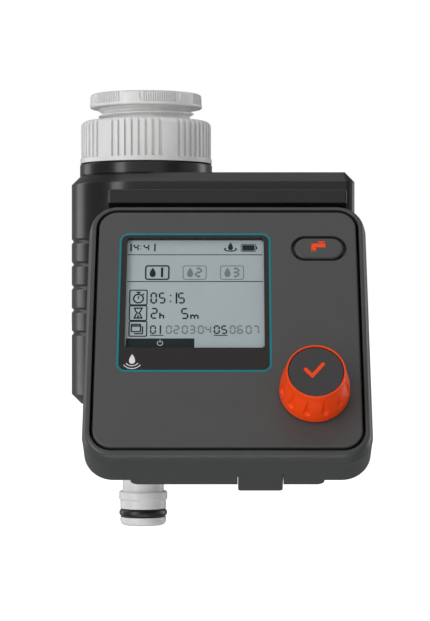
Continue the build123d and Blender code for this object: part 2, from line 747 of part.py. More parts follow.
# ---------------------------------------------------------------- outlet
with BuildPart() as outlet_nipple:
    with BuildSketch(Plane.XZ):
        with BuildLine():
            Polyline(
                (OUTLET_X + OUTLET_BORE_R, -108.3),
                (OUTLET_X + 7.3, -108.3),
                (OUTLET_X + 7.3, -119.8),
                (OUTLET_X + 9.2, -119.8),
                (OUTLET_X + 9.2, BOSS_BOTTOM - 0.3),
                (OUTLET_X + NECK_R, BOSS_BOTTOM - 0.3),
                (OUTLET_X + NECK_R, -138.5),
                (OUTLET_X + COUPLING_R - 0.4, -138.5),
                (OUTLET_X + COUPLING_R, -138.9),
                (OUTLET_X + COUPLING_R, -141.2),
                (OUTLET_X + COUPLING_R - 0.4, -141.6),
                (OUTLET_X + TIP_R, -141.6),
                (OUTLET_X + TIP_R, -144.5),
                (OUTLET_X + TIP_R - 2 * RING_R + 0.4, -144.5),
                (OUTLET_X + TIP_R - 2 * RING_R + 0.4, -147.5),
                (OUTLET_X + TIP_R, -147.5),
                (OUTLET_X + TIP_R, TIP_BOTTOM),
                (OUTLET_X + OUTLET_BORE_R, TIP_BOTTOM),
                close=True,
            )
        make_face()
    revolve(axis=OUTLET_AXIS)
    tip_edges = edges().filter_by(GeomType.CIRCLE).group_by(Axis.Z)[0]
    fillet(tip_edges.sort_by(SortBy.RADIUS)[-1], 1.7)
    with BuildSketch(outlet_plane(BOSS_BOTTOM - 0.3)):
        RegularPolygon(10.5, 6, major_radius=False)
        Circle(NECK_R - 0.5, mode=Mode.SUBTRACT)
    extrude(amount=-5.2)

with BuildPart() as nipple_seal:
    with BuildSketch(outlet_plane(-119.7)):
        Circle(9.1)
        Circle(7.5, mode=Mode.SUBTRACT)
    extrude(amount=1.6)

with BuildPart() as outlet_o_ring:
    with BuildSketch(Plane.XZ):
        with Locations((OUTLET_X + TIP_R + 0.4 - RING_R, -146.0)):
            Circle(RING_R)
    revolve(axis=OUTLET_AXIS)

# ---------------------------------------------------------------- control unit: bezel and face
POCKET_W = PANEL_W + 2 * GROOVE
POCKET_H = PANEL_H + 2 * GROOVE

with BuildPart() as front_bezel:
    with BuildSketch(UNIT.offset(-BEZEL_DEPTH)):
        RectangleRounded(BEZEL_W, BEZEL_H, BEZEL_R)
    extrude(amount=BEZEL_DEPTH - FLARE_DEPTH - RIM_DROP)
    # the side wall rounds over to the rim along a quarter ellipse
    for angle in (0, 25, 50, 70, 90):
        rise = FLARE_DEPTH * sin(radians(angle))
        inset = FLARE_INSET * (1 - cos(radians(angle)))
        with BuildSketch(UNIT.offset(-FLARE_DEPTH - RIM_DROP + rise)):
            RectangleRounded(BEZEL_W - 2 * inset, BEZEL_H - 2 * inset, BEZEL_R - inset)
    loft()
    with BuildSketch(UNIT.offset(-BEZEL_DEPTH)):
        RectangleRounded(POCKET_W, POCKET_H, PANEL_R + GROOVE)
    extrude(amount=BEZEL_DEPTH, mode=Mode.SUBTRACT)
    with BuildSketch(UNIT.offset(FLANGE_TOP)):
        RectangleRounded(POCKET_W + 1, POCKET_H + 1, PANEL_R + GROOVE)
        RectangleRounded(70, 72, 4, mode=Mode.SUBTRACT)
        with GridLocations(*UNIT_SCREWS, 2, 2):
            Circle(1.2, mode=Mode.SUBTRACT)
    extrude(amount=-2.0)
    # tongue under the dock and the slot for the latch
    with BuildSketch(UNIT_FOOT):
        with Locations((0, TONGUE_REACH - 4)):
            RectangleRounded(2 * TONGUE_HALF, 8, 2.5)
    extrude(amount=2.5)
    with BuildSketch(UNIT_FOOT):
        with Locations((LATCH_U, 17)):
            Rectangle(LATCH_W + 2 * LATCH_GAP, 8.6)
    extrude(amount=3, mode=Mode.SUBTRACT)

with BuildPart() as front_panel:
    with BuildSketch(UNIT):
        RectangleRounded(PANEL_W, PANEL_H, PANEL_R)
    extrude(amount=FLANGE_TOP)
    fillet(faces().sort_by(UNIT_AXIS)[-1].edges(), 0.5)
    with BuildSketch(UNIT.offset(-2)):
        RectangleRounded(PANEL_W - 3.6, PANEL_H - 3.6, PANEL_R - 1.8)
    extrude(amount=FLANGE_TOP, mode=Mode.SUBTRACT)
    with BuildSketch(UNIT):
        with Locations(DISPLAY):
            RectangleRounded(*DISPLAY_SIZE, DISPLAY_R)
        with Locations(BUTTON):
            SlotOverall(*BUTTON_HOLE)
        with Locations(KNOB):
            Circle(BUSH_R + 0.5)
    extrude(amount=-2, mode=Mode.SUBTRACT)

with BuildPart() as display_trim:
    with BuildSketch(UNIT.offset(0.04)):
        with Locations(DISPLAY):
            RectangleRounded(*DISPLAY_SIZE, DISPLAY_R)
            RectangleRounded(*MASK_SIZE, DISPLAY_R - TRIM, mode=Mode.SUBTRACT)
    extrude(amount=-1.64)

with BuildPart() as display_mask:
    with BuildSketch(UNIT):
        with Locations(DISPLAY):
            RectangleRounded(*MASK_SIZE, DISPLAY_R - TRIM)
        with Locations(WINDOW):
            RectangleRounded(*WINDOW_SIZE, 1, mode=Mode.SUBTRACT)
    extrude(amount=-1.6)

with BuildPart() as display_lens:
    with BuildSketch(UNIT.offset(-0.3)):
        with Locations(WINDOW):
            RectangleRounded(*WINDOW_SIZE, 1)
    extrude(amount=-0.9)

with BuildPart() as lcd_module:
    with BuildSketch(UNIT.offset(LCD_TOP)):
        with Locations(WINDOW):
            Rectangle(*LCD_SIZE)
    extrude(amount=HOLDER_TOP - LCD_TOP)

with BuildPart() as lcd_holder:
    with BuildSketch(UNIT.offset(HOLDER_TOP)):
        with Locations(WINDOW):
            Rectangle(*HOLDER_SIZE)
    extrude(amount=BOARD_TOP - HOLDER_TOP)

with BuildPart() as zebra_strips:
    with BuildSketch(UNIT.offset(HOLDER_TOP)):
        with Locations(WINDOW):
            with GridLocations(1, ZEBRA_PITCH, 1, 2):
                Rectangle(*ZEBRA_SIZE)
    extrude(amount=BOARD_TOP - HOLDER_TOP)

# ---------------------------------------------------------------- control unit: button and knob
with BuildPart() as button_symbol:
    # a tap: bar, spout with two slits for the drops, stem and handle
    with BuildSketch(BUTTON_PLANE.offset(SYMBOL_FOOT)):
        with Locations((-0.1, 0.85)):
            Rectangle(4.7, 1.5)
        with Locations((-1.7, -0.55)):
            Rectangle(1.5, 1.7)
        with Locations((0.9, 1.75)):
            Rectangle(0.6, 0.7)
        with Locations((0.9, 2.2)):
            Rectangle(2.4, 0.55)
        with Locations((-1.95, -1.1), (-1.45, -1.1)):
            Rectangle(0.2, 0.8, mode=Mode.SUBTRACT)
    extrude(amount=SYMBOL_T)

with BuildPart() as manual_button:
    with BuildSketch(UNIT.offset(BUTTON_FOOT)):
        with Locations(BUTTON):
            SlotOverall(*BUTTON_SIZE)
    extrude(amount=BUTTON_TOP - BUTTON_FOOT)
    fillet(faces().sort_by(UNIT_AXIS)[-1].edges(), 0.8)
    with BuildSketch(UNIT.offset(BUTTON_FOOT)):
        with Locations(BUTTON):
            SlotOverall(*BUTTON_LIP)
    extrude(amount=1.1)
    add(button_symbol.part, mode=Mode.SUBTRACT)

with BuildPart() as tact_switch:
    with BuildSketch(UNIT.offset(BOARD_TOP)):
        with Locations(BUTTON):
            Rectangle(SWITCH_W, SWITCH_W)
    extrude(amount=0.9)
    with BuildSketch(UNIT.offset(BOARD_TOP + 0.9)):
        with Locations(BUTTON):
            Circle(1.6)
    extrude(amount=0.55)

with BuildPart() as encoder_body:
    with BuildSketch(KNOB_PLANE.offset(BOARD_TOP)):
        Rectangle(ENCODER_W, ENCODER_W)
    extrude(amount=ENCODER_H)
    with BuildSketch(KNOB_PLANE.offset(BOARD_TOP + ENCODER_H)):
        Circle(BUSH_R)
    extrude(amount=BUSH_TOP - BOARD_TOP - ENCODER_H)
    with BuildSketch(KNOB_PLANE.offset(BOARD_TOP + 1.2)):
        Circle(STEM_R + 0.2)
    extrude(amount=BUSH_TOP - BOARD_TOP, mode=Mode.SUBTRACT)

with BuildPart() as knob_ring:
    with BuildSketch(KNOB_SECTION):
        with BuildLine():
            Line((BUSH_R + 0.2, 0.5), (KNOB_BASE_R - 0.3, 0.5))
            Line((KNOB_BASE_R - 0.3, 0.5), (KNOB_BASE_R, 0.8))
            Spline(
                (KNOB_BASE_R, 0.8),
                (10.55, 7.5),
                (KNOB_TOP_R, KNOB_TOP - 0.4),
                tangents=((-0.05, 1), (-0.1, 1)),
            )
            Polyline(
                (KNOB_TOP_R, KNOB_TOP - 0.4),
                (KNOB_TOP_R - 0.15, KNOB_TOP),
                (CAP_R + 0.1, KNOB_TOP),
                (CAP_R + 0.1, CAP_SEAT),
                (BUSH_R + 0.2, CAP_SEAT),
                (BUSH_R + 0.2, 0.5),
            )
        make_face()
    revolve(axis=KNOB_AXIS)
    # teardrop finger dents in the skirt
    for dent in range(DENTS):
        angle = radians(DENT_ANGLE + 360 / DENTS * dent)
        foot = KNOB_PLANE.from_local_coords((11.6 * cos(angle), 11.6 * sin(angle), 5.2))
        head = KNOB_PLANE.from_local_coords((9.9 * cos(angle), 9.9 * sin(angle), 11.6))
        with Locations(Plane(origin=foot, z_dir=head - foot)):
            Sphere(DENT_R, mode=Mode.SUBTRACT)
            Cone(DENT_R, 0.3, 6.6, align=(Align.CENTER, Align.CENTER, Align.MIN), mode=Mode.SUBTRACT)

with BuildPart() as check_symbol:
    with BuildSketch(KNOB_PLANE.offset(CAP_TOP - 0.15)):
        with BuildLine():
            Polyline((-3.2, 0.8), (-1.15, -1.45), (2.3, 2.7))
        trace(line_width=1.2)
        with Locations((-3.2, 0.8), (2.3, 2.7)):
            Circle(0.6)
    extrude(amount=0.19)

with BuildPart() as ok_cap:
    with BuildSketch(KNOB_PLANE.offset(CAP_FOOT)):
        Circle(CAP_R)
    extrude(amount=CAP_TOP - CAP_FOOT)
    fillet(edges().group_by(UNIT_AXIS)[-1], 0.3)
    with BuildSketch(KNOB_PLANE.offset(CAP_FOOT)):
        Circle(STEM_R)
    extrude(amount=STEM_END - CAP_FOOT)
    add(check_symbol.part, mode=Mode.SUBTRACT)

# ---------------------------------------------------------------- control unit: board
with BuildPart() as circuit_board:
    with BuildSketch(UNIT.offset(BOARD_TOP)):
        RectangleRounded(*BOARD_SIZE, 4)
    extrude(amount=-BOARD_T)

with BuildPart() as board_chips:
    with BuildSketch(UNIT.offset(BOARD_TOP - BOARD_T)):
        with Locations((-14, -10)):
            Rectangle(10, 10)
        with Locations((4, -14)):
            Rectangle(5, 4)
        with Locations(*[(-28 + 5 * step, 18) for step in range(5)]):
            Rectangle(1.6, 2.6)
    extrude(amount=-1.0)
    with BuildSketch(UNIT.offset(BOARD_TOP)):
        with Locations(*[(-30 + 6 * step, -30) for step in range(6)]):
            Rectangle(3.2, 1.6)
    extrude(amount=0.9)

# ---------------------------------------------------------------- control unit: back
SHELL_W = POCKET_W - 0.4
SHELL_H = POCKET_H - 0.4
SHELL_FRONT = -11.6

with BuildPart() as rear_shell:
    with BuildSketch(UNIT.offset(-BEZEL_DEPTH)):
        RectangleRounded(SHELL_W, SHELL_H, PANEL_R + GROOVE - 0.2)
    extrude(amount=SHELL_FRONT + BEZEL_DEPTH)
    with BuildSketch(UNIT.offset(SHELL_FRONT)):
        RectangleRounded(SHELL_W - 3.2, SHELL_H - 3.2, PANEL_R + GROOVE - 1.8)
    extrude(amount=-(SHELL_FRONT + BEZEL_DEPTH - 2.0), mode=Mode.SUBTRACT)
    with BuildSketch(UNIT.offset(-BEZEL_DEPTH + 2.0)):
        with GridLocations(*UNIT_SCREWS, 2, 2):
            Circle(3.0)
    extrude(amount=SHELL_FRONT + BEZEL_DEPTH - 2.0)
    with BuildSketch(UNIT.offset(BATTERY_BOTTOM)):
        with Locations((0, BATTERY_V)):
            RectangleRounded(*BATTERY_BOX, 2)
    extrude(amount=-10.0 - BATTERY_BOTTOM)
    with BuildSketch(UNIT.offset(BATTERY_BOTTOM)):
        with Locations((0, BATTERY_V)):
            Rectangle(BATTERY_BOX[0] - 2.8, BATTERY_BOX[1] - 3.0)
    extrude(amount=-11.2 - BATTERY_BOTTOM, mode=Mode.SUBTRACT)
    with BuildSketch(UNIT.offset(-BEZEL_DEPTH)):
        with GridLocations(*UNIT_SCREWS, 2, 2):
            Circle(2.6)
        with Locations(*[(u, CONTACT_V) for u in CONTACT_US]):
            Circle(1.2)
    extrude(amount=1.2, mode=Mode.SUBTRACT)
    with BuildSketch(UNIT.offset(-BEZEL_DEPTH)):
        with GridLocations(*UNIT_SCREWS, 2, 2):
            Circle(1.2)
    extrude(amount=6, mode=Mode.SUBTRACT)
    # notch for the latch
    with BuildSketch(UNIT.offset(-BEZEL_DEPTH)):
        with Locations((LATCH_U, -44)):
            Rectangle(LATCH_W + 1.0, 4.0)
    extrude(amount=6, mode=Mode.SUBTRACT)

with BuildPart() as shell_gasket:
    with BuildSketch(UNIT.offset(SHELL_FRONT)):
        RectangleRounded(SHELL_W - 0.6, SHELL_H - 0.6, PANEL_R + 0.5)
        RectangleRounded(SHELL_W - 2.8, SHELL_H - 2.8, PANEL_R - 0.6, mode=Mode.SUBTRACT)
    extrude(amount=0.6)

with BuildPart() as shell_screws:
    with BuildSketch(UNIT.offset(-BEZEL_DEPTH + 0.1)):
        with GridLocations(*UNIT_SCREWS, 2, 2):
            Circle(2.4)
    extrude(amount=1.1)
    with BuildSketch(UNIT.offset(-BEZEL_DEPTH + 1.2)):
        with GridLocations(*UNIT_SCREWS, 2, 2):
            Circle(1.2)
    extrude(amount=6.2)
    with BuildSketch(UNIT.offset(-BEZEL_DEPTH + 0.1)):
        with GridLocations(*UNIT_SCREWS, 2, 2):
            Rectangle(2.8, 0.6)
            Rectangle(0.6, 2.8)
    extrude(amount=0.7, mode=Mode.SUBTRACT)

with BuildPart() as unit_contacts:
    with BuildSketch(UNIT.offset(-BEZEL_DEPTH + 0.05)):
        with Locations(*[(u, CONTACT_V) for u in CONTACT_US]):
            Circle(1.2)
    extrude(amount=1.1)

with BuildPart() as battery:
    with BuildSketch(UNIT.offset(BATTERY_BOTTOM + 0.2)):
        with Locations((BATTERY_U, BATTERY_V)):
            RectangleRounded(*BATTERY_SIZE, 2)
    extrude(amount=BATTERY_T)
    with BuildSketch(Plane(origin=unit_point(20, BATTERY_V, -20), x_dir=UNIT.y_dir, z_dir=UNIT.x_dir)):
        with GridLocations(TERMINAL_PITCH, 1, 2, 1):
            Circle(TERMINAL_R)
    extrude(amount=2.2)

with BuildPart() as battery_clip:
    with BuildSketch(UNIT.offset(-27)):
        with Locations((24.2, BATTERY_V)):
            Rectangle(3.6, 24)
    extrude(amount=14)

with BuildPart() as battery_door:
    with BuildSketch(UNIT.offset(BATTERY_BOTTOM - 0.05)):
        with Locations((0, BATTERY_V)):
            RectangleRounded(*BATTERY_BOX, 2)
    extrude(amount=-DOOR_T)
    with BuildSketch(UNIT.offset(BATTERY_BOTTOM - 0.05 - DOOR_T)):
        with Locations((20, BATTERY_V)):
            with GridLocations(1.8, 1, 5, 1):
                Rectangle(0.8, 16)
    extrude(amount=0.5, mode=Mode.SUBTRACT)

# ---------------------------------------------------------------- release latch
with BuildPart() as release_latch:
    with BuildSketch(UNIT_FOOT.offset(0.3)):
        with Locations((LATCH_U, (13 + LATCH_REACH) / 2)):
            RectangleRounded(LATCH_W, LATCH_REACH - 13, 1.0)
    extrude(amount=1.9)
    with BuildSketch(UNIT_FOOT.offset(2.2)):
        with Locations((LATCH_U, LATCH_REACH - 1.5)):
            Rectangle(LATCH_W - 2, 1.4)
    extrude(amount=0.8)

latch_foot = unit_point(LATCH_U, -BEZEL_H / 2 + 2.2, -14.8)
latch_spring = coil_spring(tuple(latch_foot), tuple(UNIT.y_dir), 3.0, 1.3, 0.2, 5)

# ---------------------------------------------------------------- output
nodes = {
    "tap_adapter": tap_adapter,
    "adapter_seal": adapter_seal.part,
    "union_nut": union_nut,
    "inlet_seal": inlet_seal.part,
    "inlet_filter": inlet_filter.part,
    "valve_body": valve_body.part,
    "diaphragm": diaphragm.part,
    "diaphragm_disc": diaphragm_disc.part,
    "diaphragm_spring": diaphragm_spring,
    "valve_bonnet": valve_bonnet.part,
    "bonnet_screws": bonnet_screws.part,
    "solenoid_bobbin": solenoid_bobbin.part,
    "solenoid_coil": solenoid_coil.part,
    "solenoid_yoke": solenoid_yoke.part,
    "solenoid_core": solenoid_core.part,
    "solenoid_magnet": solenoid_magnet.part,
    "solenoid_plunger": solenoid_plunger.part,
    "plunger_seal": plunger_seal.part,
    "plunger_spring": plunger_spring,
    "solenoid_leads": solenoid_leads.part,
    "front_housing": front_housing.part,
    "rear_housing": rear_housing.part,
    "housing_screws": housing_screws.part,
    "dock_contact_block": dock_contact_block.part,
    "dock_contacts": dock_contacts.part,
    "outlet_nipple": outlet_nipple.part,
    "nipple_seal": nipple_seal.part,
    "outlet_o_ring": outlet_o_ring.part,
    "front_bezel": front_bezel.part,
    "front_panel": front_panel.part,
    "display_trim": display_trim.part,
    "display_mask": display_mask.part,
    "display_lens": display_lens.part,
    "lcd_module": lcd_module.part,
    "lcd_holder": lcd_holder.part,
    "zebra_strips": zebra_strips.part,
    "button_symbol": button_symbol.part,
    "manual_button": manual_button.part,
    "tact_switch": tact_switch.part,
    "encoder_body": encoder_body.part,
    "knob_ring": knob_ring.part,
    "check_symbol": check_symbol.part,
    "ok_cap": ok_cap.part,
    "circuit_board": circuit_board.part,
    "board_chips": board_chips.part,
    "rear_shell": rear_shell.part,
    "shell_gasket": shell_gasket.part,
    "shell_screws": shell_screws.part,
    "unit_contacts": unit_contacts.part,
    "battery": battery.part,
    "battery_clip": battery_clip.part,
    "battery_door": battery_door.part,
    "release_latch": release_latch.part,
    "latch_spring": latch_spring,
}
for name, node in nodes.items():
    node.label = name
    export_step(node, f"parts/{name}.step")
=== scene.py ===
"""Looks of the tap-mounted watering timer: materials, display content, stage, lights and camera."""

import json
from math import cos, pi, radians, sin

import bmesh
import bpy
from mathutils import Matrix, Vector


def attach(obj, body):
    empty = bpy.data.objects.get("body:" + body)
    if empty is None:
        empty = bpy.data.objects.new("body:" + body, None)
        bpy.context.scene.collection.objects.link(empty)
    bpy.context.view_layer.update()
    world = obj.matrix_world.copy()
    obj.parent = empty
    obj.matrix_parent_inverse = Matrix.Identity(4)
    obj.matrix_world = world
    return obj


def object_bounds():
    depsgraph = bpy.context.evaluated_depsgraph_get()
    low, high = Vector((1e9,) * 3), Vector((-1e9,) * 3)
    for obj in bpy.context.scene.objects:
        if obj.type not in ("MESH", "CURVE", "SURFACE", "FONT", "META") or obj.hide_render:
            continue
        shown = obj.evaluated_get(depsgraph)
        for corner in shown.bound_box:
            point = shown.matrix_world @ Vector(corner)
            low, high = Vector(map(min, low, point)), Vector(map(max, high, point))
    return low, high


MM = 0.001

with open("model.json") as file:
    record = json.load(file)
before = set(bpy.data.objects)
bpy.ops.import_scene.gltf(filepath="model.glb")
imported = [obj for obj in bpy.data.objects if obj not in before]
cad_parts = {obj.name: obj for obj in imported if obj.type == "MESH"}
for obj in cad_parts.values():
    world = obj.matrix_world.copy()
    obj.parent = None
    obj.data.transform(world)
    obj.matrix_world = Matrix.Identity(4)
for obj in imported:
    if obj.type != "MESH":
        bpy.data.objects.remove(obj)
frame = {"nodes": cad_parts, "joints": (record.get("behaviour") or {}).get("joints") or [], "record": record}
cad_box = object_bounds()
joints = {joint["name"]: joint for joint in frame["joints"]}

# ---------------------------------------------------------------- the control unit's plane
# The knob turns about the face's normal and stands KNOB_U and KNOB_V mm from the face's middle.
KNOB_U = 27.7
KNOB_V = -24.0
FACE_X = Vector((1, 0, 0))
FACE_N = Vector(joints["knob_turn"]["axis"]).normalized()
FACE_V = FACE_N.cross(FACE_X)
FACE_ORIGIN = Vector(joints["knob_turn"]["pos_m"]) - (FACE_X * KNOB_U + FACE_V * KNOB_V) * MM
FACE = Matrix((FACE_X, FACE_V, FACE_N)).transposed().to_4x4()
FACE.translation = FACE_ORIGIN


# ---------------------------------------------------------------- material kit
def new_material(name):
    """A material with its node tree, links and Principled shader."""
    material = bpy.data.materials.new(name)
    material.use_nodes = True
    tree = material.node_tree
    return material, tree, tree.nodes["Principled BSDF"]


def add_node(tree, kind, **inputs):
    """A node of that kind, with values set on its input sockets by name."""
    node = tree.nodes.new(kind)
    for socket, value in inputs.items():
        node.inputs[socket.replace("_", " ")].default_value = value
    return node


def noise(tree, size_mm, detail=2.0, stretch=(1, 1, 1)):
    """Noise whose features are about size_mm across, and finer along an axis stretched above 1."""
    place = tree.nodes.new("ShaderNodeTexCoord")
    mapping = add_node(tree, "ShaderNodeMapping", Scale=stretch)
    tree.links.new(place.outputs["Object"], mapping.inputs["Vector"])
    texture = add_node(tree, "ShaderNodeTexNoise", Scale=1 / (size_mm * MM), Detail=detail)
    tree.links.new(mapping.outputs["Vector"], texture.inputs["Vector"])
    return texture.outputs["Fac"]


def spread(tree, source, low, high):
    """The source's middle range mapped onto low to high."""
    ramp = add_node(tree, "ShaderNodeMapRange", From_Min=0.3, From_Max=0.7, To_Min=low, To_Max=high)
    tree.links.new(source, ramp.inputs["Value"])
    return ramp.outputs["Result"]


def mottle(tree, shader, colour, amount, size_mm):
    """Colour that drifts by amount around its mean."""
    mix = tree.nodes.new("ShaderNodeMix")
    mix.data_type = "RGBA"
    mix.inputs["A"].default_value = (*[part * (1 - amount) for part in colour], 1)
    mix.inputs["B"].default_value = (*[part * (1 + amount) for part in colour], 1)
    tree.links.new(spread(tree, noise(tree, size_mm), 0, 1), mix.inputs["Factor"])
    tree.links.new(mix.outputs["Result"], shader.inputs["Base Color"])


def surface(tree, shader, heights, edge_mm=0.0):
    """Bump from (height source, depth in mm) pairs, over softly rounded edges."""
    normal = None
    if edge_mm:
        bevel = add_node(tree, "ShaderNodeBevel", Radius=edge_mm * MM)
        bevel.samples = 6
        normal = bevel.outputs["Normal"]
    for source, depth in heights:
        bump = add_node(tree, "ShaderNodeBump", Strength=1.0, Distance=depth * MM)
        tree.links.new(source, bump.inputs["Height"])
        if normal:
            tree.links.new(normal, bump.inputs["Normal"])
        normal = bump.outputs["Normal"]
    tree.links.new(normal, shader.inputs["Normal"])


# widths of the flow marks and gloss patches, and how far roughness drifts either way
FLOW_MARK_MM = 9.0
GLOSS_PATCH_MM = 4.0
GLOSS_DRIFT = 0.015


def plastic(name, colour, gloss, grain_mm=0.35, depth=0.004, edge_mm=0.25, drift=0.05, specular=0.5):
    """Moulded plastic: fine spark-eroded grain, faint flow marks and uneven gloss."""
    material, tree, shader = new_material(name)
    mottle(tree, shader, colour, drift, FLOW_MARK_MM)
    patches = noise(tree, GLOSS_PATCH_MM, 1.0)
    tree.links.new(
        spread(tree, patches, gloss - GLOSS_DRIFT, gloss + GLOSS_DRIFT), shader.inputs["Roughness"]
    )
    shader.inputs["Specular IOR Level"].default_value = specular
    heights = [(noise(tree, grain_mm, 1.0), depth), (noise(tree, FLOW_MARK_MM, 0.0), depth)]
    surface(tree, shader, heights, edge_mm)
    return material


def rubber(name, colour):
    """Matt seal rubber with a dusty bloom and moulding grain."""
    material, tree, shader = new_material(name)
    mottle(tree, shader, colour, 0.25, 1.8)
    tree.links.new(spread(tree, noise(tree, 0.8), 0.28, 0.45), shader.inputs["Roughness"])
    shader.inputs["Sheen Weight"].default_value = 0.08
    surface(tree, shader, [(noise(tree, 0.25), 0.006)])
    return material


TOOL_MARK_MM = 0.3


def metal(name, colour, gloss, stretch=(1, 1, 1)):
    """Drawn or turned metal with fine tool marks, which stretch packs closer along an axis."""
    material, tree, shader = new_material(name)
    mottle(tree, shader, colour, 0.12, 2.0)
    shader.inputs["Metallic"].default_value = 1.0
    marks = noise(tree, TOOL_MARK_MM, 3.0, stretch)
    tree.links.new(spread(tree, marks, gloss - 0.08, gloss + 0.1), shader.inputs["Roughness"])
    surface(tree, shader, [(marks, 0.003)], edge_mm=0.1)
    return material


def winding(name, colour, wire_mm):
    """Enamelled wire wound side by side round the X axis."""
    material, tree, shader = new_material(name)
    mottle(tree, shader, colour, 0.2, 1.5)
    shader.inputs["Metallic"].default_value = 0.9
    shader.inputs["Roughness"].default_value = 0.28
    shader.inputs["Coat Weight"].default_value = 0.6
    place = tree.nodes.new("ShaderNodeTexCoord")
    # a wave node at scale 1 makes 10 / pi bands per metre
    turns = add_node(tree, "ShaderNodeTexWave", Scale=pi / (10 * wire_mm * MM), Distortion=0.0)
    turns.bands_direction = "X"
    tree.links.new(place.outputs["Object"], turns.inputs["Vector"])
    surface(tree, shader, [(turns.outputs["Fac"], 0.12)])
    return material


def board(name):
    """Solder-masked circuit board: green lacquer over copper tracks."""
    material, tree, shader = new_material(name)
    place = tree.nodes.new("ShaderNodeTexCoord")
    tracks = add_node(tree, "ShaderNodeTexBrick", Scale=90.0)
    tracks.inputs["Color1"].default_value = (0.012, 0.12, 0.045, 1)
    tracks.inputs["Color2"].default_value = (0.016, 0.15, 0.06, 1)
    tracks.inputs["Mortar"].default_value = (0.05, 0.26, 0.1, 1)
    tree.links.new(place.outputs["Object"], tracks.inputs["Vector"])
    tree.links.new(tracks.outputs["Color"], shader.inputs["Base Color"])
    shader.inputs["Roughness"].default_value = 0.3
    surface(tree, shader, [(tracks.outputs["Fac"], 0.03)])
    return material


def liquid_crystal(name, colour):
    """Reflective display glass: blue-grey with a faint grain."""
    material, tree, shader = new_material(name)
    mottle(tree, shader, colour, 0.025, 14.0)
    shader.inputs["Roughness"].default_value = 0.35
    shader.inputs["Specular IOR Level"].default_value = 0.3
    surface(tree, shader, [(noise(tree, 0.12, 0.0), 0.001)])
    return material


def clear(name):
    """Thin clear window that keeps only its gloss."""
    material, tree, shader = new_material(name)
    shader.inputs["Base Color"].default_value = (0.02, 0.022, 0.022, 1)
    shader.inputs["Alpha"].default_value = 0.05
    tree.links.new(spread(tree, noise(tree, 4.0), 0.05, 0.12), shader.inputs["Roughness"])
    surface(tree, shader, [(noise(tree, 5.0, 1.0), 0.0008)])
    return material


# ---------------------------------------------------------------- materials by slot
def skin(grain_mm, depth, edge_mm, drift, specular=0.5):
    """A plastic's grain width and depth, edge rounding, colour drift and specular level."""
    return {"grain_mm": grain_mm, "depth": depth, "edge_mm": edge_mm, "drift": drift, "specular": specular}


COARSE_GRAIN = skin(0.5, 0.004, 0.25, 0.03)
POLISHED = skin(0.4, 0.0008, 0.5, 0.06, 0.42)
SATIN = skin(0.3, 0.003, 0.4, 0.04)
FINE_GRAIN = skin(0.25, 0.003, 0.2, 0.03)
TRIM = skin(0.3, 0.002, 0.1, 0.04, 0.3)
PRINTED = skin(0.3, 0.0006, 0.0, 0.03, 0.3)
KNOB_SKIN = skin(0.4, 0.002, 0.2, 0.04, 0.3)
CAP_SKIN = skin(0.3, 0.002, 0.15, 0.04, 0.4)
GLASS_FILLED = skin(0.6, 0.01, 0.25, 0.05)
CHIP_SKIN = skin(0.15, 0.006, 0.1, 0.05)
INK = skin(0.2, 0.0005, 0.0, 0.03, 0.1)

materials = {
    "connector_grey": plastic("connector grey", (0.72, 0.72, 0.715), 0.38, **COARSE_GRAIN),
    "housing_black": plastic("housing black", (0.009, 0.009, 0.0093), 0.25, **POLISHED),
    "bezel_grey": plastic("bezel grey", (0.046, 0.051, 0.049), 0.4, **SATIN),
    "panel_grey": plastic("panel grey", (0.057, 0.0575, 0.0572), 0.5, **FINE_GRAIN),
    "teal_trim": plastic("teal trim", (0.005, 0.19, 0.22), 0.34, **TRIM),
    "mask_black": plastic("mask black", (0.02, 0.0165, 0.0172), 0.34, **PRINTED),
    "clear_lens": clear("clear lens"),
    "lcd_glass": liquid_crystal("display glass", (0.458, 0.53, 0.55)),
    "white_plastic": plastic("white moulding", (0.75, 0.75, 0.73), 0.4),
    "zebra_rubber": rubber("contact rubber", (0.25, 0.05, 0.05)),
    "orange_plastic": plastic("orange plastic", (0.93, 0.064, 0.0012), 0.36, **KNOB_SKIN),
    "cap_black": plastic("cap grey", (0.042, 0.039, 0.0395), 0.4, **CAP_SKIN),
    "black_rubber": rubber("seal rubber", (0.008, 0.008, 0.008)),
    "red_rubber": rubber("silicone", (0.45, 0.05, 0.03)),
    "valve_plastic": plastic("valve plastic", (0.12, 0.13, 0.14), 0.5, **GLASS_FILLED),
    "natural_plastic": plastic("natural plastic", (0.7, 0.68, 0.6), 0.4),
    "steel": metal("stainless steel", (0.6, 0.6, 0.61), 0.3, stretch=(1, 8, 8)),
    "copper": winding("enamelled copper", (0.62, 0.22, 0.08), wire_mm=0.35),
    "gold_contact": metal("gold contact", (0.83, 0.58, 0.2), 0.22),
    "magnet_metal": metal("ferrite", (0.12, 0.12, 0.13), 0.55),
    "board_green": board("circuit board"),
    "chip_black": plastic("chip package", (0.02, 0.02, 0.02), 0.5, **CHIP_SKIN),
    "battery_wrap": metal("battery wrap", (0.09, 0.11, 0.16), 0.35),
    "wire_red": plastic("wire insulation", (0.4, 0.02, 0.02), 0.4),
}
node_slots = {part["node"]: part["material_slot"] for part in frame["record"]["subparts"]}
for node, thing in frame["nodes"].items():
    thing.data.materials.clear()
    thing.data.materials.append(materials[node_slots[node]])


